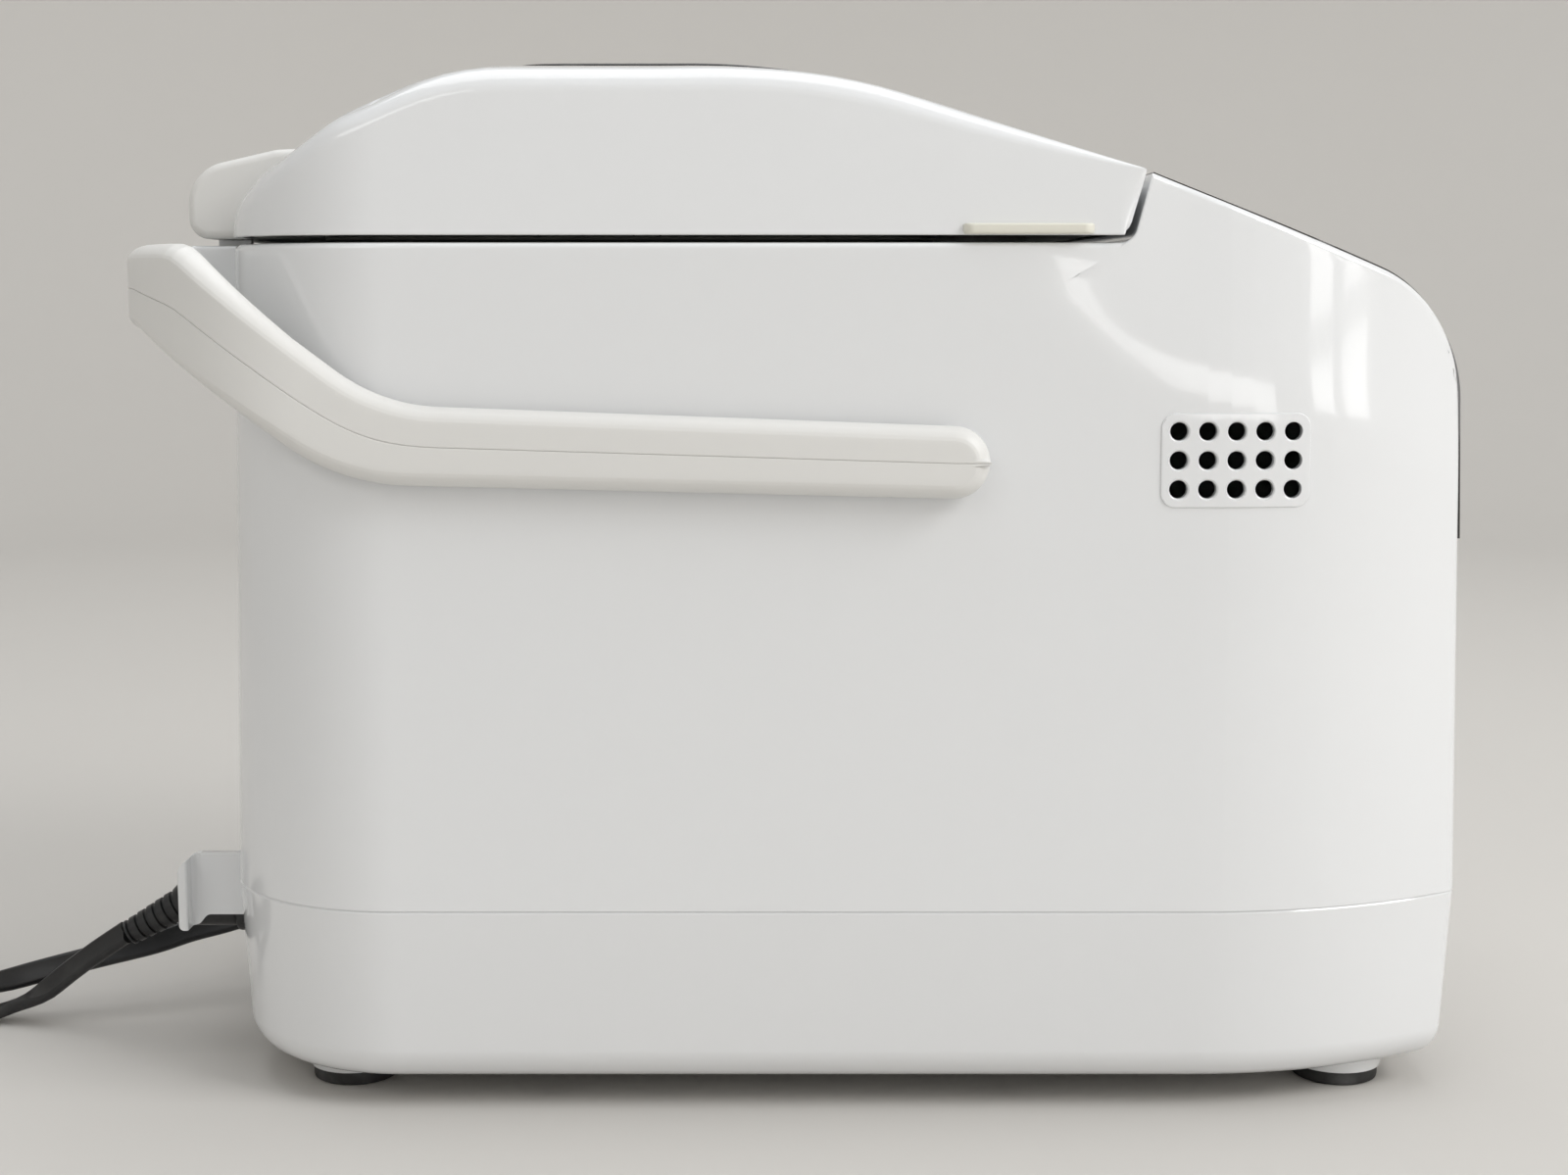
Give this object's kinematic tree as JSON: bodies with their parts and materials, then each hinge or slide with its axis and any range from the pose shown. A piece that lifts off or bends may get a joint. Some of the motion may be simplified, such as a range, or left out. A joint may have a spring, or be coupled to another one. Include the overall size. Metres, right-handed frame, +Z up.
{
  "type": "bread machine",
  "caption": "Countertop bread machine with a domed hinged lid, sloping control console, swinging carry handle, lift-out pan with kneading paddle and a belt drive.",
  "frame": {"origin": "on the table under the middle of the machine, handle included and cord left out", "axes": "+Z up, -Y towards the control console at the front, +X to the right as seen from the front, lid hinge at +Y"},
  "size_m": [0.2448, 0.573, 0.2989],
  "materials": {
    "white_gloss": "glossy moulded, cool white",
    "white_satin": "satin moulded, slightly warm white",
    "ivory": "satin ivory",
    "smoked_gloss": "high gloss, near black",
    "display_lens": "clear gloss",
    "display": "reflective display glass",
    "glass": "clear tempered glass",
    "board_green": "solder-resist",
    "board_tan": "phenolic board",
    "key_grey": "satin moulded",
    "key_orange": "satin moulded",
    "black_rubber": "matt",
    "black_pvc": "soft satin",
    "silicone": "matt silicone",
    "zinc_steel": "zinc plated",
    "bright_steel": "bright",
    "aluminium": "satin sheet",
    "cast_aluminium": "die cast",
    "nonstick": "speckled non-stick coating",
    "rim_grey": "heat-resistant, satin",
    "heater_steel": "heat-tinted sheath",
    "bronze": "sintered",
    "pulley_black": "moulded nylon",
    "fan_white": "moulded",
    "capacitor": "sleeved can"
  },
  "bodies": {
    "body": {"upper_body": "white_gloss", "base_case": "white_gloss", "rubber_feet": "black_rubber", "case_screws": "zinc_steel", "chassis_plate": "zinc_steel", "hinge_bracket": "zinc_steel", "hinge_pins": "zinc_steel", "handle_pivots": "zinc_steel", "control_panel": "smoked_gloss", "lcd_lens": "display_lens", "lcd_module": "display", "control_pcb": "board_green", "baking_chamber": "aluminium", "chamber_rim": "rim_grey", "heater_element": "heater_steel", "heater_clips": "zinc_steel", "temperature_sensor": "bronze", "thermal_fuse": "aluminium", "pan_socket": "cast_aluminium", "bearing_housing": "cast_aluminium", "bearing_bushes": "bronze", "drive_belt": "black_rubber", "motor_stator": "zinc_steel", "motor_frame": "cast_aluminium", "motor_mounts": "black_rubber", "motor_capacitor": "capacitor", "power_pcb": "board_tan", "cord_relief": "black_pvc", "power_cord": "black_pvc", "cord_coil": "black_pvc", "cord_return": "black_pvc", "coil_tie": "black_pvc", "plug_body": "black_pvc", "plug_prongs": "bright_steel"},
    "lid": {"lid_shell": "white_gloss", "lid_window": "smoked_gloss", "lid_frame": "ivory", "lid_inner_cover": "aluminium", "lid_inner_glass": "glass", "lid_seal": "silicone", "hinge_cover": "white_satin"},
    "handle": {"carry_handle": "white_satin"},
    "pan": {"bread_pan": "nonstick", "pan_base": "cast_aluminium"},
    "bail": {"pan_bail": "bright_steel"},
    "paddle": {"paddle_shaft": "bright_steel", "paddle_dog": "cast_aluminium", "kneading_paddle": "nonstick"},
    "drive": {"drive_shaft": "bright_steel", "drive_pulley": "pulley_black", "drive_dog": "cast_aluminium"},
    "motor": {"motor_rotor": "bright_steel", "motor_pulley": "cast_aluminium", "motor_fan": "fan_white"},
    "key_menu": {"menu_button": "key_grey"},
    "key_crust": {"crust_button": "key_grey"},
    "key_timer_up": {"timer_up_button": "key_grey"},
    "key_timer_down": {"timer_down_button": "key_grey"},
    "key_stop": {"stop_button": "key_grey"},
    "key_start": {"start_button": "key_orange"}
  },
  "joints": [
    {"name": "lid_hinge", "type": "hinge", "parent": "body", "child": "lid", "pos_m": [0, 0.1704, 0.2575], "axis": [-1, 0, 0], "range_deg": [0, 85]},
    {"name": "handle_swing", "type": "hinge", "parent": "body", "child": "handle", "pos_m": [0, -0.0436, 0.186], "axis": [1, 0, 0], "range_deg": [0, 95]},
    {"name": "pan_lift", "type": "slide", "parent": "body", "child": "pan", "axis": [0, 0, 1], "range_m": [0, 0.06]},
    {"name": "bail_swing", "type": "hinge", "parent": "pan", "child": "bail", "pos_m": [0, 0.048, 0.203], "axis": [0, -1, 0], "range_deg": [0, 180]},
    {"name": "drive_spin", "type": "hinge", "parent": "body", "child": "drive", "pos_m": [0, 0.048, 0.04], "axis": [0, 0, 1], "continuous": true},
    {"name": "paddle_spin", "type": "hinge", "parent": "pan", "child": "paddle", "pos_m": [0, 0.048, 0.07], "axis": [0, 0, 1], "continuous": true},
    {"name": "motor_spin", "type": "hinge", "parent": "body", "child": "motor", "pos_m": [0, -0.115, 0.06], "axis": [0, 0, 1], "continuous": true},
    {"name": "menu_press", "type": "slide", "parent": "body", "child": "key_menu", "axis": [0, 0.3649, -0.9311], "range_m": [0, 0.0008], "stiffness_N_per_m": 300},
    {"name": "crust_press", "type": "slide", "parent": "body", "child": "key_crust", "axis": [0, 0.3649, -0.9311], "range_m": [0, 0.0008], "stiffness_N_per_m": 300},
    {"name": "timer_up_press", "type": "slide", "parent": "body", "child": "key_timer_up", "axis": [0, 0.3649, -0.9311], "range_m": [0, 0.0008], "stiffness_N_per_m": 300},
    {"name": "timer_down_press", "type": "slide", "parent": "body", "child": "key_timer_down", "axis": [0, 0.3649, -0.9311], "range_m": [0, 0.0008], "stiffness_N_per_m": 300},
    {"name": "stop_press", "type": "slide", "parent": "body", "child": "key_stop", "axis": [0, 0.3649, -0.9311], "range_m": [0, 0.0008], "stiffness_N_per_m": 300},
    {"name": "start_press", "type": "slide", "parent": "body", "child": "key_start", "axis": [0, 0.3649, -0.9311], "range_m": [0, 0.0008], "stiffness_N_per_m": 300}
  ],
  "couplings": [
    {"joint": "paddle_spin", "follows": "drive_spin", "ratio": 1},
    {"joint": "motor_spin", "follows": "drive_spin", "ratio": 4.6667}
  ]
}
